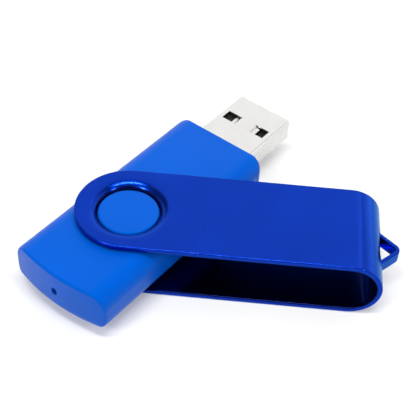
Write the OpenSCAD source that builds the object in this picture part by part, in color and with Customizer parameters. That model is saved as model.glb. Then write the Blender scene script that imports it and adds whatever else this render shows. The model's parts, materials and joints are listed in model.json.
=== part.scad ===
// Swivel USB flash drive. Millimetres, +Z up.
// The origin is where the swivel axis meets the clip's underside. +X runs from there to the clip's bend.
// The drive is first drawn along +X, as it lies when it is shut in the clip, and then turned about the swivel.

/* [Drive housing] */
// Width of the housing, across the plug
housing_w = 20.5; // [20.3:0.1:20.8]
// Thickness of the housing, face to face
housing_t = 9; // [9:0.1:9.6]
// Distance from the swivel axis to the housing's front face
housing_front = 26.5; // [26.2:0.1:26.6]
// Distance from the swivel axis to the crown of the rounded rear face
housing_rear = 19; // [18.6:0.1:20]
// Radius of the rear face, seen from above
rear_face_r = 36; // [30:0.5:42]
// Radius of the four long edges
long_edge_r = 3.5; // [3.2:0.1:3.6]
// Radius of the rear face's top edge
rear_top_edge_r = 0.5; // [0.3:0.1:1]
// Radius of the rear face's bottom edge
rear_bottom_edge_r = 2.2; // [1.4:0.1:2.4]
// Radius of the upright corners beside the front face
front_corner_r = 2; // [1.2:0.1:2.2]
// Thickness of the side walls at the parting line, and of the rear wall
side_wall = 2.1; // [2.1:0.05:2.25]
// Thickness of the top and bottom walls
face_wall = 1.1; // [1:0.05:1.2]

/* [Swivel] */
// Angle between the clip and the drive, 0 when the drive is shut in the clip
rest_turn = 56.6; // [0:0.1:359]
// Radius of the round boss
boss_r = 5.45; // [5.2:0.05:5.6]
// Radius of the boss's wider foot, which the clip turns on
bearing_r = 6.28; // [6.2:0.02:6.3]
// How far the boss stands above the housing's face
boss_rise = 0.3; // [0.1:0.05:0.5]
// Radial clearance between the boss's foot and the clip's collar
running_gap = 0.07; // [0.03:0.01:0.1]
// Gap between the housing's face and the clip's jaw
jaw_gap = 0.3; // [0.2:0.05:0.4]
// Outer radius of the groove around the boss
groove_r = 7.75; // [7.6:0.05:7.8]
// Depth of the groove around the boss
groove_depth = 1.35; // [1.3:0.05:1.4]

/* [Clip] */
// Width of the clip's metal strip
clip_w = 19; // [18:0.5:20]
// Thickness of the sheet metal
sheet_t = 1; // [0.8:0.05:1]
// Distance from the swivel axis to the outside of the bend
clip_reach = 45; // [44.8:0.1:48]
// Radius where the dish around the collar meets the flat of the jaw
dish_r = 8.05; // [7.9:0.05:8.2]
// Length of the straight part of the collar
collar_straight = 0.7; // [0.5:0.05:0.75]

/* [Lanyard loop] */
// Distance from the swivel axis to the tip of the loop
loop_reach = 48.2; // [48:0.1:51]
// Angle of each arm to the clip's length
loop_arm_angle = 46; // [42:1:52]
// Height of the loop's strip
loop_h = 2.4; // [2:0.1:3]
// Thickness of the loop's strip
loop_strip_t = 0.75; // [0.6:0.05:1]
// Outer radius of the tip
loop_tip_r = 1.2; // [1.1:0.05:1.4]
// Radius of the window that the strip was pushed out of
loop_window_r = 3.5; // [3.2:0.1:3.8]
// Height of that window
loop_window_h = 4.4; // [3.4:0.2:6]

/* [USB plug] */
// Width of the plug's metal shell
plug_w = 12; // [11.9:0.05:12.1]
// Height of the plug's metal shell
plug_h = 4.5; // [4.4:0.05:4.6]
// Thickness of the plug's sheet metal
plug_sheet = 0.3; // [0.25:0.01:0.32]
// Length of the plug's metal shell
plug_len = 18.75; // [18:0.05:19]
// How far the plug stands out of the housing
plug_exposed = 14.8; // [14.4:0.1:15]
// Thickness of the plug's tongue
tongue_t = 1.84; // [1.8:0.01:1.9]

/* [Circuit board] */
// Width of the board
board_w = 15.2; // [15:0.1:15.4]
// Thickness of the board
board_t = 0.8; // [0.6:0.1:0.8]
// Radius of the four locating pins
pin_r = 0.6; // [0.5:0.05:0.65]

/* [Hidden] */

$fn = 96;
over = 0.5;               // how far a cutting shape runs past what it cuts
small_gap = 0.05;         // assembly clearance between pieces that are not a bearing

// Heights
clip_h = housing_t + 2 * (jaw_gap + sheet_t);
mid_z = clip_h / 2;
housing_top = mid_z + housing_t / 2;
ceiling_z = housing_top - face_wall;
groove_floor_z = housing_top - groove_depth;
front_wall = 1.6;
boss_skin = 0.85;         // wall left under the groove
boss_roof = 1;            // thickness of the cored boss's roof
boss_core_r = boss_r - 1.15;
bearing_top = housing_top - 0.55;
tongue_h = 0.6;           // the lower half's tongue, which stands up inside the upper half's wall

// Clip
bend_r = clip_h / 2;
bend_x = clip_reach - bend_r;
collar_r = bearing_r + running_gap;
collar_bend_r = dish_r - collar_r;
collar_bend_z = clip_h - collar_bend_r;

// Lanyard loop
loop_tip_x = loop_reach - loop_tip_r;
loop_root_x = clip_reach - 0.8 * sheet_t;

// Plug
plug_front = housing_front + plug_exposed;
plug_back = plug_front - plug_len;
plug_corner_r = 0.6;
plug_bore_w = plug_w - 2 * plug_sheet;
plug_bore_h = plug_h - 2 * plug_sheet;
plug_bore_top = mid_z + plug_bore_h / 2;
window_w = 3.3;           // punched windows of the plug's shell
window_len = 2.4;
window_y = 3.2;
window_x = plug_front - 6.6;
window_tab_len = 1.25;
window_tab_angle = 14;
ear_len = 2.4;            // solder ears at the back of the shell
ear_h = 1.9;
ear_z = mid_z - 1.35;
plug_stop_y = [4.3, 5.4]; // stops behind the shell, from side to side
plug_stop_len = 1.4;
plug_stop_gap = [-1.4, 1]; // lower and upper edge of the space between the stops, about the middle height

// Insulator and contacts
insulator_side_gap = 0.05;
insulator_w = plug_bore_w - 2 * insulator_side_gap;
insulator_h = plug_bore_h - 2 * small_gap;
insulator_top = plug_bore_top - small_gap;
insulator_back = plug_back + 0.25;
tongue_front = plug_front - 0.6;
tongue_bottom = insulator_top - tongue_t;
block_front = plug_front - 13;
tab_pocket_depth = 0.8;  // room for the window tabs
tab_pocket_gap = 0.1;
contact_w = 1;
contact_t = 0.2;
contact_embed = 0.05;
contact_z = tongue_bottom + contact_embed - contact_t;
contact_tail_x = plug_back - 2.2;
power_y = 3.5;
data_y = 1;
power_tip_x = plug_front - 1.6;
data_tip_x = plug_front - 2.6;

// Circuit board
board_top = contact_z;
board_bottom = board_top - board_t;
board_back = -housing_rear + 3.2;
board_front = insulator_back - 0.2;
board_neck_x = plug_back - ear_len - 0.3;
pin_places = [[-13.2, 6], [-13.2, -6], [17.2, 6.1], [17.2, -6.1]];
pin_hole_r = pin_r + 0.1;
post_r = 1.2;
pin_top = board_top + 1.8;
solder_foot = 0.6;

// Chips: outline, height and the gap under them
chip_standoff = 0.1;
flash_x = -1.6;
flash_size = [18.4, 12, 1];
flash_toe = 10;
flash_lead_count = 24;
controller_x = 13.6;
controller_size = [7, 7, 1.4];
controller_toe = 4.5;
controller_lead_count = 12;
lead_pitch = 0.5;
lead_w = 0.22;
lead_t = 0.15;
crystal_x = 4.5;
crystal_base_size = [5, 3.2, 0.4];
crystal_lid_size = [4.6, 2.8, 0.5];
regulator_place = [13.5, 3.2];
regulator_size = [3, 1.7, 1];
regulator_toe = 1.6;
regulator_lead_pitch = 0.95;
led_size = [0.8, 1.6, 0.6];
led_window = [0.8, 1.2];
chip_part = [1.6, 0.8];   // plan size of the small chip parts
cap_h = 0.8;
resistor_h = 0.45;
bead_size = [2, 1.25, 0.9];
bead_place = [17.6, 1.6];

metal_blue = "#0a36b0";
shell_blue = "#0a62e0";
nickel = "#e9e9e6";
black_plastic = "#1b1b1d";
gold = "#d9b24a";
tin = "#c9ccd0";

// ---------- shared shapes ----------

module rounded_rect(size, r) {
    square([size[0] - 2 * r, size[1]], center = true);
    square([size[0], size[1] - 2 * r], center = true);
    for (sx = [-1, 1], sy = [-1, 1])
        translate([sx * (size[0] / 2 - r), sy * (size[1] / 2 - r)]) circle(r);
}

// Stands a shape drawn across the drive upright and runs it forwards from x_from to x_to
module along_drive(x_from, x_to) {
    translate([x_from, 0, mid_z]) rotate([90, 0, 90]) linear_extrude(x_to - x_from) children();
}

// A block given by its low corner and its high corner
module block(low, high) {
    translate(low) cube(high - low);
}

// Draws its children on both sides of the drive's middle plane
module both_sides() {
    children();
    mirror([0, 1, 0]) children();
}

// Draws its children on the upper side and, turned over, on the underside
module both_faces() {
    children();
    translate([0, 0, clip_h]) mirror([0, 0, 1]) children();
}

// Moves what belongs to the drive from the shut position to the rest position
module in_drive() {
    rotate([0, 0, rest_turn]) children();
}

// ---------- clip ----------

module clip_profile() {
    difference() {
        union() {
            translate([bend_x, mid_z]) circle(bend_r);
            translate([-clip_w, 0]) square([bend_x + clip_w, clip_h]);
        }
        translate([bend_x, mid_z]) circle(bend_r - sheet_t);
        translate([-clip_w - over, sheet_t]) square([bend_x + clip_w + over, clip_h - 2 * sheet_t]);
    }
}

module clip_strip() {
    intersection() {
        rotate([90, 0, 0]) linear_extrude(clip_w, center = true) clip_profile();
        linear_extrude(clip_h) union() {
            circle(clip_w / 2);
            translate([0, -clip_w / 2]) square([clip_reach + over, clip_w]);
        }
    }
}

// The drawn collar around the boss: a rounded shoulder that turns down into a short tube
module collar() {
    rotate_extrude() {
        intersection() {
            difference() {
                translate([dish_r, collar_bend_z]) circle(collar_bend_r);
                translate([dish_r, collar_bend_z]) circle(collar_bend_r - sheet_t);
            }
            translate([collar_r, collar_bend_z]) square(collar_bend_r);
        }
        translate([collar_r, collar_bend_z - collar_straight]) square([sheet_t, collar_straight]);
        translate([dish_r, clip_h - sheet_t]) square([over, sheet_t]);
    }
}

// A wedge with a round tip of radius r, seen from above
module loop_wedge(r) {
    tangent = [loop_tip_x + r * sin(loop_arm_angle), r * cos(loop_arm_angle)];
    root_y = tangent[1] + (tangent[0] - loop_root_x) * tan(loop_arm_angle);
    translate([loop_tip_x, 0]) circle(r);
    polygon([tangent, [loop_root_x, root_y], [loop_root_x, -root_y], [tangent[0], -tangent[1]]]);
}

module loop_strip() {
    translate([0, 0, mid_z - loop_h / 2]) linear_extrude(loop_h) difference() {
        loop_wedge(loop_tip_r);
        translate([-0.01, 0]) loop_wedge(loop_tip_r - loop_strip_t);
    }
}

module loop_window() {
    translate([bend_x, 0, mid_z]) rotate([90, 0, 90]) linear_extrude(bend_r + over) intersection() {
        circle(loop_window_r);
        square([2 * loop_window_r, loop_window_h], center = true);
    }
}

module swivel_clip() {
    color(metal_blue) {
        difference() {
            clip_strip();
            translate([0, 0, -over]) cylinder(r = dish_r, h = clip_h + 2 * over);
            loop_window();
        }
        both_faces() collar();
        loop_strip();
    }
}

// ---------- housing ----------

// Outline from above, moved inwards by inset, with square corners
module housing_plan(inset) {
    intersection() {
        translate([-housing_rear, inset - housing_w / 2])
            square([housing_rear + housing_front - inset, housing_w - 2 * inset]);
        translate([rear_face_r - housing_rear, 0]) circle(rear_face_r - inset, $fn = 180);
    }
}

// Half of the rear face disc's profile, with a rim of radius r
module disc_half(r) {
    square([rear_face_r - r, housing_t / 2]);
    square([rear_face_r, housing_t / 2 - r]);
    translate([rear_face_r - r, housing_t / 2 - r]) circle(r);
}

// A disc with rounded rims, whose edge is the rear face
module rear_face_disc() {
    translate([rear_face_r - housing_rear, 0, mid_z]) rotate_extrude($fn = 180) {
        disc_half(rear_top_edge_r);
        mirror([0, 1]) disc_half(rear_bottom_edge_r);
    }
}

module housing_outside() {
    intersection() {
        along_drive(-housing_rear - over, housing_front)
            rounded_rect([housing_w, housing_t], long_edge_r);
        linear_extrude(clip_h) rounded_rect([2 * housing_front, housing_w], front_corner_r);
        rear_face_disc();
    }
}

// The groove that the clip's collar runs in
module groove() {
    translate([0, 0, groove_floor_z]) difference() {
        cylinder(r = groove_r, h = groove_depth + over);
        translate([0, 0, -over]) cylinder(r = boss_r, h = groove_depth + 3 * over);
    }
}

// The boss with the wider foot that the collar turns on
module boss() {
    translate([0, 0, groove_floor_z]) {
        cylinder(r = boss_r, h = housing_top + boss_rise - groove_floor_z);
        cylinder(r = bearing_r, h = bearing_top - groove_floor_z);
    }
}

// Everything that is hollow inside the housing
module housing_hollow() {
    difference() {
        translate([0, 0, clip_h - ceiling_z]) linear_extrude(2 * ceiling_z - clip_h) intersection() {
            housing_plan(side_wall);
            translate([-housing_rear, -housing_w])
                square([housing_rear + housing_front - front_wall, 2 * housing_w]);
        }
        both_faces() translate([0, 0, groove_floor_z - boss_skin])
            cylinder(r = groove_r + boss_skin, h = housing_t);
    }
    core_from = groove_floor_z - boss_skin - over;
    both_faces() translate([0, 0, core_from])
        cylinder(r = boss_core_r, h = housing_top + boss_rise - boss_roof - core_from);
}

module plug_opening() {
    along_drive(housing_front - 2 * side_wall, housing_front + over)
        rounded_rect([plug_w + 2 * small_gap, plug_h + 2 * small_gap], plug_corner_r);
}

module led_opening() {
    along_drive(-housing_rear - over, -housing_rear + 2 * side_wall)
        translate([0, board_top + led_size[2] / 2 - mid_z]) square(led_window, center = true);
}

// The half below the parting line, with the tongue that stands up inside the upper half's wall
module lower_zone(clearance) {
    translate([0, 0, -over]) linear_extrude(mid_z + over)
        translate([-2 * housing_rear, -housing_w]) square([4 * housing_front, 2 * housing_w]);
    translate([0, 0, mid_z - over]) linear_extrude(tongue_h + clearance + over)
        housing_plan(side_wall / 2 - clearance);
}

module housing_walls() {
    difference() {
        union() {
            difference() {
                housing_outside();
                both_faces() groove();
            }
            both_faces() boss();
        }
        housing_hollow();
        plug_opening();
        led_opening();
    }
}

// Stops behind the plug's shell, one on each side
module plug_stops(z_from, z_to) {
    both_sides() block([plug_back - plug_stop_len, plug_stop_y[0], z_from],
                       [plug_back - small_gap, plug_stop_y[1], z_to]);
}

module upper_shell() {
    socket_r = pin_r + small_gap;
    color(shell_blue) in_drive() {
        difference() {
            housing_walls();
            lower_zone(small_gap);
        }
        for (p = pin_places) translate([p[0], p[1], board_top]) difference() {
            cylinder(r = post_r, h = ceiling_z - board_top + over);
            translate([0, 0, -over]) cylinder(r = socket_r, h = pin_top - board_top + small_gap + over);
        }
        plug_stops(mid_z + plug_stop_gap[1], ceiling_z + over);
    }
}

module lower_shell() {
    floor_z = clip_h - ceiling_z;
    color(shell_blue) in_drive() {
        intersection() {
            housing_walls();
            lower_zone(0);
        }
        for (p = pin_places) translate([p[0], p[1], floor_z - over]) {
            cylinder(r = post_r, h = board_bottom - floor_z + over);
            cylinder(r = pin_r, h = pin_top - floor_z + over);
        }
        plug_stops(floor_z - over, mid_z + plug_stop_gap[0]);
    }
}

// ---------- plug ----------

// One of the two window tabs: the metal of the window, left on at its inner edge and pushed in
module window_tab() {
    translate([window_x - window_len / 2, window_y - window_w / 2, mid_z + plug_h / 2])
        rotate([-window_tab_angle, 0, 0]) translate([0, -plug_sheet / 2, -plug_sheet])
            cube([window_len, window_tab_len, plug_sheet]);
}

module plug_shell() {
    color(nickel) in_drive() {
        difference() {
            along_drive(plug_back, plug_front) rounded_rect([plug_w, plug_h], plug_corner_r);
            along_drive(plug_back - over, plug_front + over)
                rounded_rect([plug_bore_w, plug_bore_h], plug_corner_r - plug_sheet);
            both_sides() translate([window_x - window_len / 2, window_y - window_w / 2, 0])
                cube([window_len, window_w, clip_h]);
        }
        both_sides() window_tab();
        both_sides() block([plug_back - ear_len, plug_w / 2 - plug_sheet, ear_z],
                           [plug_back + over, plug_w / 2, ear_z + ear_h]);
    }
}

module contact(y, tip_x) {
    block([contact_tail_x, y - contact_w / 2, contact_z], [tip_x, y + contact_w / 2, contact_z + contact_t]);
}

module all_contacts() {
    both_sides() {
        contact(power_y, power_tip_x);
        contact(data_y, data_tip_x);
    }
}

// The tongue along the shell's upper wall and the block behind it, with the shell's rounded corners
module plug_insulator() {
    color(black_plastic) in_drive() difference() {
        intersection() {
            along_drive(insulator_back, tongue_front)
                rounded_rect([insulator_w, insulator_h], plug_corner_r - plug_sheet);
            union() {
                block([insulator_back, -plug_w, 0], [block_front, plug_w, clip_h]);
                block([insulator_back, -plug_w, tongue_bottom], [tongue_front, plug_w, clip_h]);
            }
        }
        all_contacts();
        both_sides() translate([window_x - window_len / 2 - tab_pocket_gap,
                                window_y - window_w / 2 - 3 * tab_pocket_gap, plug_bore_top - tab_pocket_depth])
            cube([window_len + 2 * tab_pocket_gap, window_w + 4 * tab_pocket_gap, tab_pocket_depth + over]);
    }
}

module contact_power() { color(gold) in_drive() contact(power_y, power_tip_x); }
module contact_data_minus() { color(gold) in_drive() contact(data_y, data_tip_x); }
module contact_data_plus() { color(gold) in_drive() contact(-data_y, data_tip_x); }
module contact_ground() { color(gold) in_drive() contact(-power_y, power_tip_x); }

// ---------- circuit board ----------

module circuit_board() {
    neck_w = plug_bore_w - 2 * small_gap;
    color("#145a32") in_drive() translate([0, 0, board_bottom]) linear_extrude(board_t) difference() {
        union() {
            translate([board_back, -board_w / 2]) square([board_neck_x - board_back, board_w]);
            translate([board_back, -neck_w / 2]) square([board_front - board_back, neck_w]);
        }
        for (p = pin_places) translate(p) circle(pin_hole_r);
    }
}

// A gull-wing lead that leaves a chip's side at edge and ends at toe, drawn in X and Z
module gull_lead(edge, toe, exit_z) {
    foot = toe - 0.5;
    rotate([90, 0, 0]) linear_extrude(lead_w, center = true) polygon([
        [edge, exit_z], [edge, exit_z + lead_t], [foot - 0.1, exit_z + lead_t], [foot + 0.1, lead_t],
        [toe, lead_t], [toe, 0], [foot - lead_t, 0], [foot - 0.1 - lead_t, exit_z]
    ]);
}

module lead_row(count, edge, toe, exit_z) {
    for (i = [0 : count - 1])
        translate([0, (i - (count - 1) / 2) * lead_pitch, 0]) gull_lead(edge, toe, exit_z);
}

module chip_body(x, size) {
    translate([x - size[0] / 2, -size[1] / 2, board_top + chip_standoff]) cube(size);
}

module flash_chip() { color(black_plastic) in_drive() chip_body(flash_x, flash_size); }

module flash_chip_leads() {
    color(tin) in_drive() translate([flash_x, 0, board_top]) for (turn = [0, 180])
        rotate([0, 0, turn]) lead_row(flash_lead_count, flash_size[0] / 2, flash_toe, 0.5);
}

module controller_chip() { color(black_plastic) in_drive() chip_body(controller_x, controller_size); }

module controller_leads() {
    color(tin) in_drive() translate([controller_x, 0, board_top]) for (turn = [0 : 90 : 270])
        rotate([0, 0, turn]) lead_row(controller_lead_count, controller_size[0] / 2, controller_toe, 0.7);
}

// The quartz crystal under the board: a ceramic base with a metal lid
module crystal_base() {
    color("#b9a888") in_drive() translate([crystal_x, 0, board_bottom - crystal_base_size[2]])
        linear_extrude(crystal_base_size[2]) rounded_rect(crystal_base_size, 0.3);
}

module crystal_lid() {
    color("silver") in_drive()
        translate([crystal_x, 0, board_bottom - crystal_base_size[2] - crystal_lid_size[2]])
            linear_extrude(crystal_lid_size[2]) rounded_rect(crystal_lid_size, 0.4);
}

// The voltage regulator under the board
module voltage_regulator() {
    color(black_plastic) in_drive()
        translate([regulator_place[0], regulator_place[1], board_bottom - chip_standoff])
            translate([0, 0, -regulator_size[2] / 2]) cube(regulator_size, center = true);
}

module regulator_leads() {
    color(tin) in_drive() translate([regulator_place[0], regulator_place[1], board_bottom]) mirror([0, 0, 1])
        for (turn = [90, 270], i = [-1, 0, 1])
            translate([i * regulator_lead_pitch, 0, 0]) rotate([0, 0, turn])
                gull_lead(regulator_size[1] / 2, regulator_toe, regulator_size[2] / 2);
}

// A small light in the middle of the board's rear edge, behind the window in the rear face
module status_led() {
    color("#dfe7f5") in_drive()
        translate([board_back + 0.2, -led_size[1] / 2, board_top]) cube(led_size);
}

module small_parts(places, height) {
    for (p = places) translate([p[0] - chip_part[0] / 2, p[1] - chip_part[1] / 2, p[2]])
        cube([chip_part[0], chip_part[1], height]);
}

module chip_capacitors() {
    under = board_bottom - cap_h;
    color("#a9835a") in_drive() small_parts([
        [9.2, 5.9, board_top], [12, 6.2, board_top], [9.2, -5.9, board_top], [-9, 0, under],
        [-6, 4.6, under], [-6, -4.6, under], [8.8, 2.4, under], [8.8, -2.4, under]
    ], cap_h);
}

module chip_resistors() {
    under = board_bottom - resistor_h;
    color("#202124") in_drive() small_parts([
        [-13.9, 2.6, board_top], [-13.9, -2.6, board_top], [13.6, -5.2, under], [16.2, -1.6, under],
        [0.4, 3.4, under], [0.4, -3.4, under]
    ], resistor_h);
}

module ferrite_bead() {
    color("#3a3a3c") in_drive() translate([bead_place[0], bead_place[1], board_bottom - bead_size[2]])
        cube(bead_size);
}

// A solder fillet: a triangular prism, high at one side and drawn along its length
module fillet(length, foot, height) {
    rotate([90, 0, 0]) linear_extrude(length, center = true) polygon([[0, 0], [0, height], [-foot, 0]]);
}

module contact_solder() {
    color(tin) in_drive() both_sides() for (y = [data_y, power_y])
        translate([contact_tail_x, y, board_top]) fillet(contact_w, 0.5, contact_t);
}

module shell_solder() {
    color(tin) in_drive() both_sides()
        translate([plug_back - ear_len / 2, plug_bore_w / 2 - small_gap, board_top])
            rotate([0, 0, 90]) fillet(ear_len - solder_foot, solder_foot, solder_foot);
}

swivel_clip();
upper_shell();
lower_shell();
plug_shell();
plug_insulator();
contact_power();
contact_data_minus();
contact_data_plus();
contact_ground();
circuit_board();
flash_chip();
flash_chip_leads();
controller_chip();
controller_leads();
crystal_base();
crystal_lid();
voltage_regulator();
regulator_leads();
status_led();
chip_capacitors();
chip_resistors();
ferrite_bead();
contact_solder();
shell_solder();
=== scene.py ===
"""Looks of the swivel USB flash drive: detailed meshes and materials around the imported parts.

Lengths are in millimetres until a mesh is made. The drive's own pieces are drawn shut, along +X, and are
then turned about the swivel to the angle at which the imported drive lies.
"""
import json
import math

import bmesh
import bpy
from mathutils import Matrix, Vector


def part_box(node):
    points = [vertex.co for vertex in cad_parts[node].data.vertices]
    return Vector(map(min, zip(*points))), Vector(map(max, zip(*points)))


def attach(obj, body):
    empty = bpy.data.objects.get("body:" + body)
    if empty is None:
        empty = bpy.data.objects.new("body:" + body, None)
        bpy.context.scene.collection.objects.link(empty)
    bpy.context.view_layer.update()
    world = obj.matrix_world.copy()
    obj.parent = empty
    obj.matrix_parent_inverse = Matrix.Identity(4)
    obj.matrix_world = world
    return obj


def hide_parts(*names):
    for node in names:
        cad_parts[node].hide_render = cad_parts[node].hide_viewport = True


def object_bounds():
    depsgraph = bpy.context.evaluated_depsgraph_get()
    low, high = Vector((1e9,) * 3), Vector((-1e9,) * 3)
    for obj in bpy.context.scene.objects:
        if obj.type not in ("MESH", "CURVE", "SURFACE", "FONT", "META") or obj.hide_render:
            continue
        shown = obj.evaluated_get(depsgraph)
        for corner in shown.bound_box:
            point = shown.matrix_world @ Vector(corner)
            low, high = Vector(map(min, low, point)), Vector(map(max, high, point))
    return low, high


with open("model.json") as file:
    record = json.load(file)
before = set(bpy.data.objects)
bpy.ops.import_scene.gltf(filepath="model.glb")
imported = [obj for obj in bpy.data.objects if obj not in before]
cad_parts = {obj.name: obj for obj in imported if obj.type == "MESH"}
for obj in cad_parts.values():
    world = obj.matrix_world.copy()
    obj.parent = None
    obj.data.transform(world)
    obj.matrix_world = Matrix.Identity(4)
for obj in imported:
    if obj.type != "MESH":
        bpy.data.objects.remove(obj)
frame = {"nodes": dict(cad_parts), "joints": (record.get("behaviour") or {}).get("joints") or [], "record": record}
cad_low, cad_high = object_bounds()

MM = 0.001
nodes = frame["nodes"]
mounts = {m["name"]: m for m in frame["record"]["mounts"]}

# ---------- sizes ----------

plug_axis = mounts["usb_plug"]["axis"]
REST_TURN = math.atan2(plug_axis[1], plug_axis[0])
MID_Z = frame["joints"][0]["pos_m"][2] / MM


def drive_box(node):
    """Lowest and highest corner of one of the drive's nodes, in mm, with the drive turned shut along +X."""
    back = Matrix.Rotation(-REST_TURN, 3, "Z")
    points = [back @ v.co / MM for v in nodes[node].data.vertices]
    low = Vector([min(p[i] for p in points) for i in range(3)])
    high = Vector([max(p[i] for p in points) for i in range(3)])
    return low, high


clip_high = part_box("swivel_clip")[1] / MM
shell_low, shell_high = drive_box("upper_shell")
plug_high = drive_box("plug_shell")[1]
led_low, led_high = drive_box("status_led")

CLIP_HALF_W = clip_high.y
SHEET = 1.0
BEND_R = clip_high.z / 2 - SHEET / 2          # to the middle of the sheet
BEND_X = 39.2
CLIP_EDGE_R = 0.24
DISH_R = 8.05
LIP_R = 5.52
LIP_Z = 9.85
SHARP_ANGLE = 50                              # degrees between two faces, from which an edge is rounded

LOOP_REACH = clip_high.x
LOOP_STRIP = 0.75
LOOP_H = 2.4
LOOP_EDGE_R = 0.16
LOOP_ARM_ANGLE = math.radians(46)
LOOP_ROOT_R = 1.0
LOOP_ROOT_LEN = 1.2                           # how far the strip runs on in the bend
LOOP_TIP_R = 1.2
LOOP_TIP_BACK = 0.17                          # makes up for the tip's arc, which is drawn too wide
LOOP_WINDOW_R = 3.5
LOOP_WINDOW_H = 4.4

HOUSING_FRONT = shell_high.x
HOUSING_REAR = -shell_low.x
HOUSING_HALF_W = shell_high.y
HOUSING_HALF_T = 4.5
REAR_FACE_R = 36.0
LONG_EDGE_R = 3.5
REAR_TOP_EDGE_R = 0.5
REAR_BOTTOM_EDGE_R = 2.2
FRONT_EDGE_R = 0.35
FRONT_CORNER_R = 1.5
RIDGE_BLEND = 0.8                             # how softly the end faces run into the sides
SIDE_WALL = 2.1
FRONT_WALL = 1.6
INNER_HALF_T = 3.4
INNER_CORNER_R = 0.5
INNER_BLEND = 0.3
SEAM_HALF_GAP = 0.004
TONGUE = 0.6                                  # height of the lower shell's lip
TONGUE_SHARE = 0.5                            # how far through the wall the lip goes
RABBET_SHARE = 0.52
RABBET_GAP = 0.05

BOSS_R = 5.45
BOSS_TOP = shell_high.z - MID_Z
BOSS_EDGE_R = 0.4
BOSS_FOOT_R = 6.28
BOSS_FOOT_TOP = 3.95
BOSS_FOOT_RIM = 0.12
BOSS_ROOT = 0.3                               # how deep the foot stands in the pocket's floor
BOSS_CORE_R = 4.3
BOSS_ROOF = 1.0
GROOVE_R = 7.75
GROOVE_FLOOR = 3.15
GROOVE_BACK = 2.3
HUB_R = 4                                     # a ring of the mesh in the flats around the swivel
RECESS_R = 7.7
RECESS_RIM_R = 8
CUT_BEYOND = 1                                # how far a cutting shape stands out of what it cuts
LATHE_STEPS = 128

PLUG_LEN = 18.75
PLUG_FRONT = plug_high.x
PLUG_BACK = PLUG_FRONT - PLUG_LEN
PLUG_HALF_W = plug_high.y
PLUG_HALF_H = plug_high.z - MID_Z
PLUG_SHEET = 0.3
PLUG_CORNER_R = 0.6
PLUG_EDGE_R = 0.06
PLUG_SEAM_HALF = 0.02
PLUG_NOSE = ((0.5, 0), (0.22, 0.03), (0, 0.12))   # distance from the front edge, and how far it is drawn in

WINDOW_LEN = 2.4
WINDOW_W = 3.3
WINDOW_Y = 3.2
WINDOW_X = PLUG_FRONT - 6.6
WINDOW_BACK = WINDOW_X - WINDOW_LEN / 2
WINDOW_FRONT = WINDOW_X + WINDOW_LEN / 2
WINDOW_INNER = WINDOW_Y - WINDOW_W / 2
WINDOW_OUTER = WINDOW_Y + WINDOW_W / 2

EAR_LOW = -1.35
EAR_HIGH = 0.55
EAR_LEN = 2.4
SLIT = 0.05
TAB_DROP = 0.42
TAB_JOGGLE = 0.45                             # share of the tab's reach that slopes
TAB_REACH = 1.3
TAB_STEPS = 6


# ---------- mesh tools ----------

def clean_mesh(mesh):
    """Joins points that coincide, drops unused ones, and turns every face outwards."""
    clean = bmesh.new()
    clean.from_mesh(mesh)
    bmesh.ops.remove_doubles(clean, verts=clean.verts, dist=0.002 * MM)
    bmesh.ops.dissolve_degenerate(clean, edges=clean.edges, dist=0.001 * MM)
    bmesh.ops.delete(clean, geom=[v for v in clean.verts if not v.link_faces], context="VERTS")
    bmesh.ops.recalc_face_normals(clean, faces=clean.faces)
    clean.to_mesh(mesh)
    clean.free()


def mesh_object(name, points, faces, in_drive=False):
    """A new object from points in mm; in_drive turns them with the drive."""
    turn = Matrix.Rotation(REST_TURN if in_drive else 0, 3, "Z")
    mesh = bpy.data.meshes.new(name)
    mesh.from_pydata([turn @ (Vector(p) * MM) for p in points], [], faces)
    clean_mesh(mesh)
    made = bpy.data.objects.new(name, mesh)
    bpy.context.scene.collection.objects.link(made)
    return made


def apply_modifiers(piece):
    """Turns what the piece's modifiers show into its own mesh."""
    graph = bpy.context.evaluated_depsgraph_get()
    mesh = bpy.data.meshes.new_from_object(piece.evaluated_get(graph))
    piece.modifiers.clear()
    piece.data = mesh


def thicken(piece, thickness):
    """Gives a sheet its thickness, half on each side."""
    solid = piece.modifiers.new("sheet", "SOLIDIFY")
    solid.thickness = thickness * MM
    solid.offset = 0
    solid.use_even_offset = True


def round_edges(piece, radius, segments=3, angle=SHARP_ANGLE):
    """Rounds every edge sharper than angle."""
    bevel = piece.modifiers.new("edges", "BEVEL")
    bevel.width = radius * MM
    bevel.segments = segments
    bevel.limit_method = "ANGLE"
    bevel.angle_limit = math.radians(angle)
    bevel.use_clamp_overlap = True
    bevel.miter_outer = "MITER_ARC"
    return bevel


def combine(piece, other, operation):
    """Joins other to the piece, or cuts it out of the piece, and removes other."""
    boolean = piece.modifiers.new("combine", "BOOLEAN")
    boolean.operation = operation
    boolean.solver = "EXACT"
    boolean.object = other
    apply_modifiers(piece)
    bpy.data.objects.remove(other)


def shade(piece, angle=35):
    """Smooth shading with flat faces kept flat and sharp edges kept sharp."""
    piece.data.shade_smooth()
    piece.data.set_sharp_from_angle(angle=math.radians(angle))
    weighted = piece.modifiers.new("normals", "WEIGHTED_NORMAL")
    weighted.keep_sharp = True


def finish_piece(piece, body, slot, material, *stands_for):
    """Hangs a finished piece on its body and gives it its finish."""
    clean_mesh(piece.data)
    shade(piece)
    piece.data.materials.clear()
    piece.data.materials.append(material)
    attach(piece, body)
    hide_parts(*stands_for)


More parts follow.
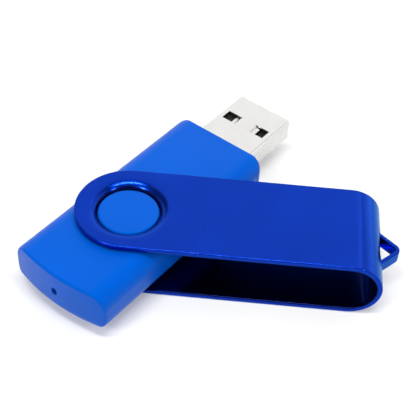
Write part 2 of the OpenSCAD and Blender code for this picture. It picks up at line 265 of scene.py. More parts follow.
def loft(rings, closed=True):
    """Faces between rings that all have the same number of points. A ring of one point is a pole."""
    points = []
    faces = []
    starts = []
    for ring in rings:
        starts.append(len(points))
        points += ring
    pairs = list(zip(range(len(rings) - 1), range(1, len(rings))))
    if closed:
        pairs.append((len(rings) - 1, 0))
    for a, b in pairs:
        size = max(len(rings[a]), len(rings[b]))
        for i in range(size):
            j = (i + 1) % size
            corners = []
            for ring, step in ((a, i), (a, j), (b, j), (b, i)):
                index = starts[ring] + step % len(rings[ring])
                if index not in corners:
                    corners.append(index)
            if len(corners) > 2:
                faces.append(corners)
    return points, faces


def steps(count):
    """Fractions from 0 to 1 in count steps."""
    return [k / count for k in range(count + 1)]


def lerp(a, b, t):
    """The value a share t of the way from a to b."""
    return a + (b - a) * t


def grid_face(row, column, width):
    """One face of a mesh whose points stand in rows of the given width."""
    start = row * width + column
    return start, start + 1, start + width + 1, start + width


# ---------- clip ----------

RING_POINTS = 128
SIDE_POINTS = RING_POINTS // 8                # from the middle of the strip to its edge
BEND_STEPS = 14
JAW_STEPS = 10
DISH_STEPS = 8
DISH_RIM_SHARES = (0.2, 0.6, 1)               # rings between the dish and the blank's edge
WINDOW_FLAT_COLUMN = 5                        # up to here, columns of the mesh end at the window's flat edge
WINDOW_END_COLUMN = 10                        # from here, they pass it by


def blank_edge(angle):
    """Where a ray from the swivel meets the edge of a jaw's end, round behind and square in front."""
    c, s = math.cos(angle), math.sin(angle)
    reach = CLIP_HALF_W if c < 0 else CLIP_HALF_W / max(abs(c), abs(s))
    return reach * c, reach * s


def collar_profile():
    """The drawn dish from its lip to its rim, as radius and height at the middle of the sheet."""
    across = DISH_R - LIP_R - SHEET / 2
    down = clip_high.z - SHEET / 2 - LIP_Z
    turns = [t * math.pi / 2 for t in steps(DISH_STEPS)]
    return [(DISH_R - across * math.cos(a), LIP_Z + down * math.sin(a)) for a in turns]


def end_patch():
    """The round end of a jaw, with the dish in its middle."""
    angles = [2 * math.pi * i / RING_POINTS for i in range(RING_POINTS)]
    rings = [[(r * math.cos(a), r * math.sin(a), z) for a in angles] for r, z in collar_profile()]
    top = clip_high.z - SHEET / 2
    for share in DISH_RIM_SHARES:
        ring = []
        for a in angles:
            x, y = blank_edge(a)
            ring.append((lerp(DISH_R * math.cos(a), x, share), lerp(DISH_R * math.sin(a), y, share), top))
        rings.append(ring)
    return loft(rings, closed=False)


def window_columns():
    """Across the strip: where each line of the mesh is at the bend, and its end's height above the middle."""
    edge_turn = math.asin(LOOP_WINDOW_H / 2 / LOOP_WINDOW_R)
    flat_y = LOOP_WINDOW_R * math.cos(edge_turn)
    columns = []
    for k in range(-SIDE_POINTS, SIDE_POINTS + 1):
        side = math.copysign(1, k)
        n = abs(k)
        if n >= WINDOW_END_COLUMN:
            share = (n - WINDOW_END_COLUMN) / (SIDE_POINTS - WINDOW_END_COLUMN)
            columns.append((side * lerp(LOOP_WINDOW_R, CLIP_HALF_W, share), 0))
        elif n >= WINDOW_FLAT_COLUMN:
            turn = edge_turn * (WINDOW_END_COLUMN - n) / (WINDOW_END_COLUMN - WINDOW_FLAT_COLUMN)
            columns.append((side * LOOP_WINDOW_R * math.cos(turn), LOOP_WINDOW_R * math.sin(turn)))
        else:
            columns.append((side * flat_y * n / WINDOW_FLAT_COLUMN, LOOP_WINDOW_H / 2))
    return columns


def strip_patch():
    """The flat of a jaw in front of its round end, and half of the bend, down to the window."""
    top = clip_high.z - SHEET / 2
    columns = window_columns()
    starts = [blank_edge(math.pi / 4 * k / SIDE_POINTS) for k in range(-SIDE_POINTS, SIDE_POINTS + 1)]
    rows = []
    for t in steps(JAW_STEPS):
        rows.append([
            (lerp(x, BEND_X, t), lerp(y, end_y, t), top)
            for (x, y), (end_y, _) in zip(starts, columns)
        ])
    for t in steps(BEND_STEPS)[1:]:
        row = []
        for y, end_height in columns:
            angle = t * math.acos(end_height / BEND_R)
            row.append((BEND_X + BEND_R * math.sin(angle), y, MID_Z + BEND_R * math.cos(angle)))
        rows.append(row)
    points = [p for row in rows for p in row]
    width = len(columns)
    faces = [grid_face(r, c, width) for r in range(len(rows) - 1) for c in range(width - 1)]
    return points, faces


def turned_over(points, faces):
    """The same patch on the other jaw."""
    return [(x, y, 2 * MID_Z - z) for x, y, z in points], [tuple(reversed(f)) for f in faces]


def joined(*patches):
    """Several patches as one."""
    points, faces = [], []
    for patch_points, patch_faces in patches:
        start = len(points)
        points += patch_points
        faces += [[start + i for i in face] for face in patch_faces]
    return points, faces


def rounded_path(corners, radii, count=6):
    """A path through corners, with an arc at each inner corner.

    The radius places the arc's centre and ends. The arc itself is always drawn 1 mm from that centre, so it
    only meets the straight parts exactly where the radius is 1.
    """
    path = [Vector(corners[0])]
    for before, corner, after, radius in zip(corners, corners[1:], corners[2:], radii):
        corner = Vector(corner)
        back = (Vector(before) - corner).normalized()
        ahead = (Vector(after) - corner).normalized()
        half = back.angle(ahead) / 2
        centre = corner + (back + ahead).normalized() * radius / math.sin(half)
        first = corner + back * radius / math.tan(half) - centre
        last = corner + ahead * radius / math.tan(half) - centre
        for t in steps(count):
            path.append(centre + first.slerp(last, t))
    path.append(Vector(corners[-1]))
    return path


def loop_path():
    """The middle of the lanyard loop's strip, from one root in the bend round the tip to the other."""
    tip_x = LOOP_REACH - LOOP_TIP_R - LOOP_TIP_BACK
    tip_r = LOOP_TIP_R - LOOP_STRIP / 2
    sheet_x = clip_high.z / 2 + BEND_X - SHEET / 2
    point_x = tip_x + tip_r / math.sin(LOOP_ARM_ANGLE)
    root_y = (point_x - sheet_x) * math.tan(LOOP_ARM_ANGLE)
    end_y = root_y + LOOP_ROOT_LEN
    corners = [(sheet_x, end_y), (sheet_x, root_y), (point_x, 0), (sheet_x, -root_y), (sheet_x, -end_y)]
    return rounded_path(corners, (LOOP_ROOT_R, tip_r, LOOP_ROOT_R), 8)


def loop_strip():
    """The lanyard loop: a strip that leaves the bend, runs to a round tip and comes back."""
    path = loop_path()
    rings = []
    for k, point in enumerate(path):
        ahead = (path[min(k + 1, len(path) - 1)] - path[max(k - 1, 0)]).normalized()
        across = Vector((-ahead.y, ahead.x)) * LOOP_STRIP / 2
        rings.append([
            (*(point + across), MID_Z + LOOP_H / 2), (*(point - across), MID_Z + LOOP_H / 2),
            (*(point - across), MID_Z - LOOP_H / 2), (*(point + across), MID_Z - LOOP_H / 2),
        ])
    points, faces = loft(rings, closed=False)
    last = len(points) - 4
    return points, faces + [[3, 2, 1, 0], [last, last + 1, last + 2, last + 3]]


def round_strip_edges(clip):
    """Rounds the strip's edges, and those of the dish's lip and the loop's window less."""
    window_share = 0.1
    lip_share = 0.3
    window_x = BEND_X + 1
    window_y = LOOP_WINDOW_R + 0.5
    lip_reach = LIP_R + SHEET + 0.2
    mesh = bmesh.new()
    mesh.from_mesh(clip.data)
    weights = mesh.edges.layers.float.new("bevel_weight_edge")
    for edge in mesh.edges:
        if edge.is_manifold and edge.calc_face_angle() > math.radians(SHARP_ANGLE):
            middle = (edge.verts[0].co + edge.verts[1].co) / 2 / MM
            in_window = middle.x > window_x and abs(middle.y) < window_y
            on_lip = middle.xy.length < lip_reach
            edge[weights] = window_share if in_window else lip_share if on_lip else 1
    mesh.to_mesh(clip.data)
    mesh.free()
    bevel = round_edges(clip, CLIP_EDGE_R, segments=4)
    bevel.limit_method = "WEIGHT"


def build_clip(material):
    """The folded strip with its dishes and its loop."""
    end, strip = end_patch(), strip_patch()
    clip = mesh_object("clip_sheet", *joined(end, strip, turned_over(*end), turned_over(*strip)))
    thicken(clip, SHEET)
    apply_modifiers(clip)
    round_strip_edges(clip)
    apply_modifiers(clip)
    loop = mesh_object("loop", *loop_strip())
    round_edges(loop, LOOP_EDGE_R)
    apply_modifiers(loop)
    combine(clip, loop, "UNION")
    finish_piece(clip, "clip", "clip_aluminium", material, "swivel_clip")


# ---------- housing ----------

def edge_inset(height, radius):
    """How far a rounded edge has moved inwards at a height above the housing's middle."""
    above = max(0.0, height - (HOUSING_HALF_T - radius))
    return radius - math.sqrt(max(0.0, radius ** 2 - above ** 2))


def ray_angles():
    """Directions from the swivel in which every outline of the housing has its points.

    Each span is from one angle to the next in a number of steps, closer together at the corners.
    """
    spans = ((0, 11, 8), (11, 26, 44), (26, 90, 26), (90, 144, 22), (144, 164, 56), (164, 180, 12))
    half = [math.radians(lerp(a, b, k / count)) for a, b, count in spans for k in range(count)]
    return half + [math.pi] + [2 * math.pi - a for a in reversed(half[1:])]


RAYS = ray_angles()


def soft_min(a, b, blend):
    """The smaller of two values, with a rounded change-over."""
    overlap = max(blend - abs(a - b), 0) / blend
    return min(a, b) - overlap ** 2 * blend / 4


SIDEWAYS_COS = 0.5                            # below this cosine a ray meets a side face
FAR_AWAY = 4 * HOUSING_FRONT


def end_reach(angle, rear, front, corner):
    """Distance from the swivel to the rear arc or to the front face with its rounded corner."""
    c, s = math.cos(angle), abs(math.sin(angle))
    if c < 0:
        arc_x = REAR_FACE_R - HOUSING_REAR
        along = arc_x * c
        return along + math.sqrt(along ** 2 + (REAR_FACE_R - rear) ** 2 - arc_x ** 2)
    if c < SIDEWAYS_COS:
        return FAR_AWAY
    front_x = HOUSING_FRONT - front
    straight = front_x / c
    centre_x, centre_y = front_x - corner, HOUSING_HALF_W - corner
    if straight * s <= centre_y:
        return straight
    along = centre_x * c + centre_y * s
    across = centre_x * s - centre_y * c
    return along + math.sqrt(max(0.0, corner ** 2 - across ** 2))


def outline(side, rear, front, corner=FRONT_CORNER_R, blend=RIDGE_BLEND):
    """The housing seen from above, moved in from its side, rear and front faces."""
    ring = []
    for a in RAYS:
        sideways = (HOUSING_HALF_W - side) / max(abs(math.sin(a)), 1e-6)
        reach = soft_min(sideways, end_reach(a, rear, front, corner), blend)
        ring.append((reach * math.cos(a), reach * math.sin(a)))
    return ring


def level(height, rear_edge_r):
    """The housing's outline at a height above its middle."""
    insets = [edge_inset(height, r) for r in (LONG_EDGE_R, rear_edge_r, FRONT_EDGE_R)]
    return [(x, y, height) for x, y in outline(*insets)]


def inner_level(height, share=1.0):
    """The cavity's outline, or one part way through the wall."""
    inset = SIDE_WALL * share
    ring = outline(inset, inset, FRONT_WALL * share, INNER_CORNER_R, INNER_BLEND)
    return [(x, y, height) for x, y in ring]


def circle(radius, height):
    """A round ring about the swivel, with its points in the same directions as the outlines."""
    return [(radius * math.cos(a), radius * math.sin(a), height) for a in RAYS]


def outer_rings(rear_edge_r):
    """From the parting line over the rounded edges to the middle of the face."""
    side_heights = (SEAM_HALF_GAP, 0.5, 0.95)
    edge_steps = 26
    rings = [level(height, rear_edge_r) for height in side_heights]
    for t in steps(edge_steps):
        rings.append(level(HOUSING_HALF_T - LONG_EDGE_R * (1 - math.sin(t * math.pi / 2)), rear_edge_r))
    return rings + [circle(HUB_R, HOUSING_HALF_T), [(0, 0, HOUSING_HALF_T)]]


def inner_rings():
    """From the middle of the ceiling to the inside of the wall."""
    return [
        [(0, 0, GROOVE_BACK)],
        circle(HUB_R, GROOVE_BACK),
        circle(RECESS_R, GROOVE_BACK),
        circle(RECESS_RIM_R, INNER_HALF_T),
        inner_level(INNER_HALF_T),
    ]


def lathe(profile):
    """A solid turned about the swivel, from radii and heights that start and end on the axis."""
    turns = [t * 2 * math.pi for t in steps(LATHE_STEPS)[:-1]]
    rings = [[(r * math.cos(a), r * math.sin(a), z) for a in turns] if r else [(0, 0, z)] for r, z in profile]
    return loft(rings, closed=False)


def pocket():
    """What is cut away around the boss."""
    top = BOSS_TOP + CUT_BEYOND
    return lathe([(0, GROOVE_FLOOR), (GROOVE_R, GROOVE_FLOOR), (GROOVE_R, top), (0, top)])


def boss():
    """The boss with its wider foot, which stands in the floor of the pocket."""
    profile = [(0, BOSS_TOP)]
    for t in steps(7):
        a = t * math.pi / 2
        profile.append((BOSS_R - BOSS_EDGE_R * (1 - math.sin(a)), BOSS_TOP - BOSS_EDGE_R * (1 - math.cos(a))))
    profile.append((BOSS_R, BOSS_FOOT_TOP))
    profile.append((BOSS_FOOT_R - BOSS_FOOT_RIM, BOSS_FOOT_TOP))
    profile.append((BOSS_FOOT_R, BOSS_FOOT_TOP - BOSS_FOOT_RIM))
    root = GROOVE_FLOOR - BOSS_ROOT
    return lathe(profile + [(BOSS_FOOT_R, root), (0, root)])


def boss_core():
    """The hollow under the boss."""
    low_z = GROOVE_BACK - CUT_BEYOND
    high_z = BOSS_TOP - BOSS_ROOF
    return lathe([(0, low_z), (BOSS_CORE_R, low_z), (BOSS_CORE_R, high_z), (0, high_z)])


def plug_cutter():
    """The opening for the plug, with a small chamfer at its mouth."""
    gap = 0.05
    flare = 0.5
    inside = HOUSING_FRONT - 3
    chamfer = HOUSING_FRONT - 0.15
    outside = HOUSING_FRONT + 0.3
    rings = []
    for x, grow in ((inside, gap), (chamfer, gap), (outside, flare)):
        ring = rounded_box(PLUG_HALF_W + grow, PLUG_HALF_H + grow, PLUG_CORNER_R + grow)
        rings.append([(x, y, z) for y, z in ring])
    points, faces = loft(rings, closed=False)
    size = len(rings[0])
    return points, faces + [list(range(size)), list(range(len(points) - size, len(points)))]


def light_cutter():
    """The small window in front of the status light."""
    centre_z = (led_low.z + led_high.z) / 2 - MID_Z
    half_w, half_h, corner_r = 0.6, 0.85, 0.55
    depth = 3
    ring = rounded_box(half_w, half_h, corner_r)
    ends = (-HOUSING_REAR - CUT_BEYOND, -HOUSING_REAR + depth)
    rings = [[(x, y, z + centre_z) for y, z in ring] for x in ends]
    points, faces = loft(rings, closed=False)
    size = len(ring)
    return points, faces + [list(range(size)), list(range(size, 2 * size))]


def rounded_box(half_w, half_h, radius, count=5):
    """A rectangle with round corners across the drive, as pairs of Y and Z about the middle."""
    ring = []
    for quarter, (sy, sz) in enumerate(((1, 1), (-1, 1), (-1, -1), (1, -1))):
        for t in steps(count):
            a = (quarter + t) * math.pi / 2
            y = sy * (half_w - radius) + radius * math.cos(a)
            z = sz * (half_h - radius) + radius * math.sin(a)
            ring.append((y, z))
    return ring


def placed(points, faces, sign=1):
    """Moves a shape drawn about the middle height to its place; sign -1 turns it over first."""
    return [(x, y, MID_Z + sign * z) for x, y, z in points], faces


def build_shell(node, sign, rear_edge_r, lip_rings, material):
    """One half of the housing. lip_rings close it at the parting line."""
    points, faces = loft(outer_rings(rear_edge_r) + inner_rings() + lip_rings)
    shell = mesh_object(node + "_skin", *placed(points, faces, sign), in_drive=True)
    operations = (
        (pocket(), sign, "DIFFERENCE"),
        (boss(), sign, "UNION"),
        (boss_core(), sign, "DIFFERENCE"),
        (plug_cutter(), 1, "DIFFERENCE"),
        (light_cutter(), 1, "DIFFERENCE"),
    )
    for shape, side, operation in operations:
        combine(shell, mesh_object("tool", *placed(*shape, side), in_drive=True), operation)
    finish_piece(shell, "drive", "housing_plastic", material, node)


def build_housing(material):
    """Both shells: the lower one's lip stands in the upper one's rabbet."""
    rabbet_z = TONGUE + RABBET_GAP
    rabbet = [
        inner_level(rabbet_z),
        inner_level(rabbet_z, RABBET_SHARE),
        inner_level(SEAM_HALF_GAP, RABBET_SHARE),
    ]
    raised = [
        inner_level(-TONGUE),
        inner_level(-TONGUE, TONGUE_SHARE),
        inner_level(SEAM_HALF_GAP, TONGUE_SHARE),
    ]
    build_shell("upper_shell", 1, REAR_TOP_EDGE_R, rabbet, material)
    build_shell("lower_shell", -1, REAR_BOTTOM_EDGE_R, raised, material)


# ---------- plug ----------

def plug_section():
    """Once round the middle of the plug's sheet, from the seam in its underside, as pairs of Y and Z."""
    half_w = PLUG_HALF_W - PLUG_SHEET / 2
    half_h = PLUG_HALF_H - PLUG_SHEET / 2
    radius = PLUG_CORNER_R - PLUG_SHEET / 2
    flat = [PLUG_SEAM_HALF, WINDOW_INNER / 2, WINDOW_INNER, WINDOW_Y, WINDOW_OUTER]
    right = [(y, -half_h) for y in flat]
    for t in steps(5):
        a = (t - 1) * math.pi / 2
        right.append((half_w - radius + radius * math.cos(a), -half_h + radius + radius * math.sin(a)))
    right += [(half_w, EAR_LOW), (half_w, EAR_HIGH)]
    for t in steps(5):
        a = t * math.pi / 2
        right.append((half_w - radius + radius * math.cos(a), half_h - radius + radius * math.sin(a)))
    right += [(y, half_h) for y in reversed(flat[1:])] + [(0, half_h)]
    return right + [(-y, z) for y, z in reversed(right[:-1])]


def plug_rows():
    """Where the mesh's rings stand along the plug, with how far each is drawn in."""
    back = [PLUG_BACK - EAR_LEN, PLUG_BACK, HOUSING_FRONT]
    windows = [WINDOW_BACK, WINDOW_BACK + SLIT, WINDOW_FRONT - SLIT, WINDOW_FRONT]
    nose = [(PLUG_FRONT - distance, inset) for distance, inset in PLUG_NOSE]
    return [(x, 0) for x in back + windows] + nose


def in_plug_sheet(x, y, z):
    """Whether the sheet has metal here: not in a window, and behind the plug only in its ears."""
    if WINDOW_BACK < x < WINDOW_FRONT and WINDOW_INNER < abs(y) < WINDOW_OUTER:
        return False
    side_depth = 0.2
    in_side = abs(y) > PLUG_HALF_W - side_depth
    return x >= PLUG_BACK or (in_side and EAR_LOW < z < EAR_HIGH)


def plug_tabs():
    """The sprung tab in each window, which slopes down from the window's inner edge and then runs level."""
    points = []
    faces = []
    for side in (1, -1):
        start = len(points)
        for t in steps(TAB_STEPS):
            share = min(1, t / TAB_JOGGLE)
            drop = TAB_DROP * (3 * share ** 2 - 2 * share ** 3)
            y, z = side * (WINDOW_INNER + TAB_REACH * t), PLUG_HALF_H - PLUG_SHEET / 2 - drop
            points += [(WINDOW_BACK + SLIT, y, z), (WINDOW_FRONT - SLIT, y, z)]
        for k in range(start, start + 2 * TAB_STEPS, 2):
            faces.append((k, k + 1, k + 3, k + 2))
    return points, faces


def plug_sheet():
    """The folded shell as a sheet without thickness, with its ears, its windows and the tabs in them."""
    section = plug_section()
    rows = plug_rows()
    xs = [x for x, _ in rows]
    points = []
    for x, inset in rows:
        k = 1 - inset / PLUG_HALF_H
        points += [(x, y * (1 - inset / PLUG_HALF_W), z * k) for y, z in section]
    width = len(section)
    faces = []
    for r in range(len(rows) - 1):
        row_x = (xs[r] + xs[r + 1]) / 2
        for c in range(width - 1):
            y = (section[c][0] + section[c + 1][0]) / 2
            z = (section[c][1] + section[c + 1][1]) / 2
            if in_plug_sheet(row_x, y, z):
                faces.append(grid_face(r, c, width))
    return joined((points, faces), plug_tabs())


def build_plug(material):
    """The plug's shell with its thickness."""
    plug = mesh_object("plug_sheet", *placed(*plug_sheet()), in_drive=True)
    thicken(plug, PLUG_SHEET)
    round_edges(plug, PLUG_EDGE_R, segments=2)
    apply_modifiers(plug)
    finish_piece(plug, "drive", "plug_nickel", material, "plug_shell")


# ---------- materials ----------

def new_material(name, **values):
    """A Principled material. The values' names are the shader's own, with _ for a space."""
    made = bpy.data.materials.new(name)
    made.use_nodes = True
    shader = made.node_tree.nodes["Principled BSDF"]
    for key, value in values.items():
        shader.inputs[key.replace("_", " ")].default_value = value
    return made, made.node_tree, shader


def noise(tree, per_mm, detail=2.0, stretch=(1, 1, 1), turn=0.0):
    """Noise fixed to the piece, with per_mm bumps in a millimetre."""
    coords = tree.nodes.new("ShaderNodeTexCoord")
    mapping = tree.nodes.new("ShaderNodeMapping")
    mapping.vector_type = "TEXTURE"
    mapping.inputs["Rotation"].default_value = (0, 0, turn)
    mapping.inputs["Scale"].default_value = [MM / per_mm * s for s in stretch]
    texture = tree.nodes.new("ShaderNodeTexNoise")
    texture.inputs["Scale"].default_value = 1
    texture.inputs["Detail"].default_value = detail
    tree.links.new(coords.outputs["Object"], mapping.inputs["Vector"])
    tree.links.new(mapping.outputs["Vector"], texture.inputs["Vector"])
    return texture.outputs["Fac"]


def vary_colour(tree, shader, factor, dark, light):
    """Base colour that drifts between two tones."""
    ramp = tree.nodes.new("ShaderNodeValToRGB")
    ramp.color_ramp.elements[0].position = 0.3
    ramp.color_ramp.elements[0].color = (*dark, 1)
    ramp.color_ramp.elements[1].position = 0.7
    ramp.color_ramp.elements[1].color = (*light, 1)
    tree.links.new(factor, ramp.inputs["Fac"])
    tree.links.new(ramp.outputs["Color"], shader.inputs["Base Color"])


def vary_roughness(tree, shader, factor, low, high):
    """Roughness that drifts between two values."""
    span = tree.nodes.new("ShaderNodeMapRange")
    span.inputs["From Min"].default_value = 0.3
    span.inputs["From Max"].default_value = 0.7
    span.inputs["To Min"].default_value = low
    span.inputs["To Max"].default_value = high
    tree.links.new(factor, span.inputs["Value"])
    tree.links.new(span.outputs["Result"], shader.inputs["Roughness"])


def add_bump(tree, shader, factor, height, strength=0.5):
    """Fine relief, height in mm."""
    bump = tree.nodes.new("ShaderNodeBump")
    bump.inputs["Strength"].default_value = strength
    bump.inputs["Distance"].default_value = height * MM
    tree.links.new(factor, bump.inputs["Height"])
    tree.links.new(bump.outputs["Normal"], shader.inputs["Normal"])


def painted_fold_shade_mask(tree):
    """Mask for the painted shade: 1 on the faces that look into the fold of the clip, 0 on its outside."""
    fade_start = (BEND_R - 0.4) * MM
    fade_end = (BEND_R - 0.2) * MM
    coords = tree.nodes.new("ShaderNodeTexCoord")
    shift = tree.nodes.new("ShaderNodeVectorMath")
    shift.operation = "SUBTRACT"
    shift.inputs[1].default_value = (BEND_X * MM, 0, MID_Z * MM)
    floor = tree.nodes.new("ShaderNodeVectorMath")
    floor.operation = "MAXIMUM"
    floor.inputs[1].default_value = (0, -1, -1)
    flatten = tree.nodes.new("ShaderNodeVectorMath")
    flatten.operation = "MULTIPLY"
    flatten.inputs[1].default_value = (1, 0, 1)
    length = tree.nodes.new("ShaderNodeVectorMath")
    length.operation = "LENGTH"
    span = tree.nodes.new("ShaderNodeMapRange")
    span.interpolation_type = "SMOOTHSTEP"
    span.inputs["From Min"].default_value = fade_start
    span.inputs["From Max"].default_value = fade_end
    span.inputs["To Min"].default_value = 1
    span.inputs["To Max"].default_value = 0
    tree.links.new(coords.outputs["Object"], shift.inputs[0])
    tree.links.new(shift.outputs[0], floor.inputs[0])
    tree.links.new(floor.outputs[0], flatten.inputs[0])
    tree.links.new(flatten.outputs[0], length.inputs[0])
    tree.links.new(length.outputs["Value"], span.inputs["Value"])
    return span.outputs["Result"]


def anodised_blue():
    """Satin anodised aluminium with a fine grain and faint rolling lines, and painted shade darkening the inside
    of the fold.
    """
    made, tree, shader = new_material(
        "clip_aluminium",
        Metallic=1.0,
        Specular_Tint=(0.5, 0.8, 1, 1),
        Coat_Weight=0.12,
        Coat_Roughness=0.1,
    )
    vary_colour(tree, shader, noise(tree, 0.12), (0.0, 0.027, 0.35), (0.0, 0.031, 0.39))
    outside = shader.inputs["Base Color"].links[0].from_socket
    # Painted shade: the inside of the fold is darkened to a near-black blue, which stands in for the shade there.
    fold_shade_mix = tree.nodes.new("ShaderNodeMix")
    fold_shade_mix.data_type = "RGBA"
    fold_shade_mix.inputs["B"].default_value = (0.0, 0.004, 0.07, 1)
    tree.links.new(painted_fold_shade_mask(tree), fold_shade_mix.inputs["Factor"])
    tree.links.new(outside, fold_shade_mix.inputs["A"])
    tree.links.new(fold_shade_mix.outputs["Result"], shader.inputs["Base Color"])
    rolling_lines = noise(tree, 3, detail=3, stretch=(6, 1, 1))
    vary_roughness(tree, shader, rolling_lines, 0.21, 0.28)
    add_bump(tree, shader, noise(tree, 9), 0.002, 0.15)
    return made


def satin_blue_plastic():
    """Moulded housing plastic with a fine even texture."""
    made, tree, shader = new_material(
        "housing_plastic",
        IOR=1.2,
        Specular_IOR_Level=1.0,
        Specular_Tint=(0.0, 0.6, 1, 1),
    )
    vary_colour(tree, shader, noise(tree, 0.1), (0.0, 0.074, 0.465), (0.0, 0.08, 0.5))
    vary_roughness(tree, shader, noise(tree, 0.5, 3), 0.34, 0.4)
    add_bump(tree, shader, noise(tree, 5, 4), 0.006, 0.35)
    return made


def bright_nickel():
    """Nickel-plated sheet with faint drawing lines along the plug."""
    made, tree, shader = new_material("plug_nickel", Metallic=1.0)
    vary_colour(tree, shader, noise(tree, 0.3), (0.65, 0.645, 0.63), (0.68, 0.675, 0.66))
    drawing_lines = {"detail": 3, "stretch": (12, 1, 1), "turn": REST_TURN}
    vary_roughness(tree, shader, noise(tree, 4, **drawing_lines), 0.25, 0.3)
    add_bump(tree, shader, noise(tree, 4, **drawing_lines), 0.001, 0.2)
    return made


def moulded_black():
    """The plug's black insulator, faintly uneven."""
    made, tree, shader = new_material("insulator_plastic", Specular_IOR_Level=0.3)
    vary_colour(tree, shader, noise(tree, 0.5), (0.012, 0.011, 0.011), (0.02, 0.019, 0.018))
    vary_roughness(tree, shader, noise(tree, 1, 3), 0.35, 0.5)
    add_bump(tree, shader, noise(tree, 6, 3), 0.004, 0.4)
    return made


def plain_metal(name, dark, light, rough):
    """Plated contacts, leads and solder, told apart by colour and polish."""
    made, tree, shader = new_material(name, Metallic=1.0)
    vary_colour(tree, shader, noise(tree, 0.8), dark, light)
    vary_roughness(tree, shader, noise(tree, 3, 3), rough, rough + 0.12)
    add_bump(tree, shader, noise(tree, 6, 3), 0.003, 0.3)
    return made


def matte_body(name, dark, light, rough, relief=0.006):
    """Ceramic, epoxy and resin bodies with a fine grain."""
    made, tree, shader = new_material(name)
    vary_colour(tree, shader, noise(tree, 1.5, 4), dark, light)
    vary_roughness(tree, shader, noise(tree, 2, 3), rough, rough + 0.15)
    add_bump(tree, shader, noise(tree, 8, 4), relief, 0.4)
    return made


def board_laminate():
    """Green solder resist over a glass weave, which shows as a fine checker in the relief."""
    made, tree, shader = new_material("board_laminate")
    vary_colour(tree, shader, noise(tree, 0.9, 4), (0.006, 0.07, 0.025), (0.012, 0.13, 0.045))
    vary_roughness(tree, shader, noise(tree, 0.7), 0.22, 0.34)
    coords = tree.nodes.new("ShaderNodeTexCoord")
    weave = tree.nodes.new("ShaderNodeTexChecker")
    weave.inputs["Scale"].default_value = 2 / MM
    tree.links.new(coords.outputs["Object"], weave.inputs["Vector"])
    add_bump(tree, shader, weave.outputs["Fac"], 0.003, 0.3)
    return made


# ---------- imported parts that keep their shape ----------

def soften(node, radius):
    """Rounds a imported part's edges with modifiers, and leaves its mesh as it is."""
    piece = nodes[node]
    weld = piece.modifiers.new("weld", "WELD")
    weld.merge_threshold = 0.001 * MM
    round_edges(piece, radius, 2, 40)
    piece.modifiers.new("normals", "WEIGHTED_NORMAL")


def dress_inner_parts():
    """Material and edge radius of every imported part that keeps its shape."""
    gold = plain_metal("contact_gold", (0.83, 0.58, 0.2), (0.92, 0.68, 0.28), 0.18)
    tin = plain_metal("tinned_metal", (0.62, 0.63, 0.65), (0.75, 0.76, 0.78), 0.3)
    package = matte_body("chip_package", (0.014, 0.014, 0.015), (0.024, 0.024, 0.026), 0.5)
    crystal = matte_body("crystal_ceramic", (0.5, 0.42, 0.3), (0.62, 0.54, 0.4), 0.5)
    resin = matte_body("led_resin", (0.3, 0.36, 0.45), (0.42, 0.48, 0.58), 0.15)
    capacitor = matte_body("capacitor_ceramic", (0.38, 0.25, 0.14), (0.5, 0.35, 0.2), 0.4)
    resistor = matte_body("resistor_ceramic", (0.02, 0.02, 0.022), (0.04, 0.04, 0.045), 0.3)
    ferrite = matte_body("ferrite_ceramic", (0.05, 0.05, 0.055), (0.09, 0.09, 0.095), 0.5)
    looks = {
        "plug_insulator": (moulded_black(), 0.08),
        "contact_power": (gold, 0.04),
        "contact_data_minus": (gold, 0.04),
        "contact_data_plus": (gold, 0.04),
        "contact_ground": (gold, 0.04),
        "circuit_board": (board_laminate(), 0.05),
        "flash_chip": (package, 0.08),
        "controller_chip": (package, 0.08),
        "voltage_regulator": (package, 0.06),
        "flash_chip_leads": (tin, 0),
        "controller_leads": (tin, 0),
        "regulator_leads": (tin, 0),
        "crystal_lid": (tin, 0.08),
        "contact_solder": (tin, 0),
        "shell_solder": (tin, 0),
        "crystal_base": (crystal, 0.04),
        "status_led": (resin, 0.05),
        "chip_capacitors": (capacitor, 0.05),
        "chip_resistors": (resistor, 0.03),
        "ferrite_bead": (ferrite, 0.05),
    }
    for node, (material, radius) in looks.items():
        nodes[node].data.materials.clear()
        nodes[node].data.materials.append(material)
        if radius:
            soften(node, radius)


# ---------- stage ----------

CAMERA_AZIMUTH = math.radians(-2.083)
CAMERA_ELEVATION = math.radians(45.39)
CAMERA_ROLL = math.radians(3.636)
CAMERA_X = 18.8
CAMERA_Y = -125.2
CAMERA_Z = 139.7
CAMERA_LENS = 88.08
CAMERA_SENSOR = 36


def make_camera():
    """The camera looks down at the drive from the front, a little rolled."""
    roll = CAMERA_ROLL
    forward = Vector((
        math.sin(CAMERA_AZIMUTH) * math.cos(CAMERA_ELEVATION),
        math.cos(CAMERA_AZIMUTH) * math.cos(CAMERA_ELEVATION),
        -math.sin(CAMERA_ELEVATION),
    ))
    level_right = forward.cross(Vector((0, 0, 1))).normalized()
    level_up = level_right.cross(forward)
    right = math.cos(roll) * level_right + math.sin(roll) * level_up
    up = math.cos(roll) * level_up - math.sin(roll) * level_right
    camera = bpy.data.objects.new("camera", bpy.data.cameras.new("camera"))
    camera.matrix_world = Matrix((
        (right.x, up.x, -forward.x, CAMERA_X * MM),
        (right.y, up.y, -forward.y, CAMERA_Y * MM),
        (right.z, up.z, -forward.z, CAMERA_Z * MM),
        (0, 0, 0, 1),
    ))
    camera.data.lens = CAMERA_LENS
    camera.data.sensor_width = CAMERA_SENSOR
    camera.data.clip_start = 0.01
    bpy.context.scene.collection.objects.link(camera)
    bpy.context.scene.camera = camera


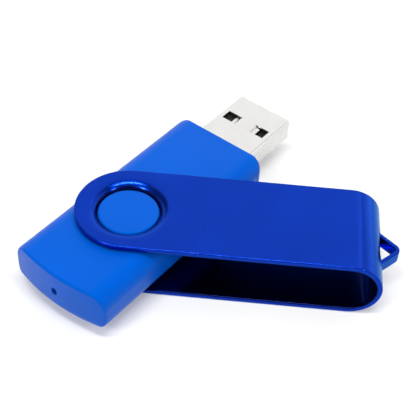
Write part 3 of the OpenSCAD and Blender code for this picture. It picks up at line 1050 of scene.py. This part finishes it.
def soft_light(name, direction, distance, width, height, brightness):
    """A softbox that faces the drive. Its brightness is its radiance, where 1 is seen as white."""
    light = bpy.data.lights.new(name, "AREA")
    light.shape = "RECTANGLE"
    light.size = width
    light.size_y = height
    light.energy = brightness * math.pi * width * height
    lamp = bpy.data.objects.new(name, light)
    centre = (cad_low + cad_high) / 2
    away = Vector(direction).normalized()
    lamp.location = centre + away * distance
    lamp.rotation_mode = "QUATERNION"
    lamp.rotation_quaternion = away.to_track_quat("Z", "Y")
    lamp.visible_camera = False
    bpy.context.scene.collection.objects.link(lamp)


def make_sky():
    """A studio that is bright at the horizon and dim above, so that only the softboxes shine from there."""
    world = bpy.data.worlds.new("studio")
    world.use_nodes = True
    tree = world.node_tree
    coords = tree.nodes.new("ShaderNodeTexCoord")
    split = tree.nodes.new("ShaderNodeSeparateXYZ")
    ramp = tree.nodes.new("ShaderNodeValToRGB")
    ramp.color_ramp.interpolation = "EASE"
    ramp.color_ramp.elements[0].position = 0.15
    ramp.color_ramp.elements[0].color = (1, 1, 1, 1)
    ramp.color_ramp.elements[1].position = 0.5
    ramp.color_ramp.elements[1].color = (0.25, 0.25, 0.25, 1)
    tree.links.new(coords.outputs["Generated"], split.inputs["Vector"])
    tree.links.new(split.outputs["Z"], ramp.inputs["Fac"])
    tree.links.new(ramp.outputs["Color"], tree.nodes["Background"].inputs["Color"])
    bpy.context.scene.world = world


def make_lights():
    """Two large dim panels for the broad sheen, and a strip and two small boxes for the highlights."""
    make_sky()
    bpy.context.scene.view_settings.view_transform = "Standard"
    soft_light("back_panel", (0, 1, 1), distance=0.5, width=0.6, height=0.6, brightness=1.0)
    soft_light("right_panel", (0.85, 0.4, 0.4), distance=0.5, width=0.5, height=0.5, brightness=0.7)
    soft_light("overhead_strip", (0, -0.15, 1), distance=0.4, width=0.28, height=0.034, brightness=36)
    soft_light("front_right", (0.62, -0.48, 0.62), distance=0.4, width=0.05, height=0.05, brightness=40)
    soft_light("front_left", (-0.52, -0.55, 0.66), distance=0.4, width=0.07, height=0.07, brightness=30)


def make_floor():
    """A flat pale floor with a faint grain."""
    mesh = bpy.data.meshes.new("floor")
    half = 3.0
    corners = [(-half, -half, 0), (half, -half, 0), (half, half, 0), (-half, half, 0)]
    mesh.from_pydata(corners, [], [(0, 1, 2, 3)])
    floor = bpy.data.objects.new("floor", mesh)
    bpy.context.scene.collection.objects.link(floor)
    made, tree, shader = new_material(
        "floor_paper",
        Roughness=0.9,
        Specular_IOR_Level=0.1,
        Emission_Color=(1, 1, 1, 1),
        Emission_Strength=0.2,
    )
    vary_colour(tree, shader, noise(tree, 0.05), (0.64, 0.64, 0.64), (0.66, 0.66, 0.66))
    mesh.materials.append(made)


make_camera()
make_lights()
make_floor()
build_clip(anodised_blue())
build_housing(satin_blue_plastic())
build_plug(bright_nickel())
dress_inner_parts()
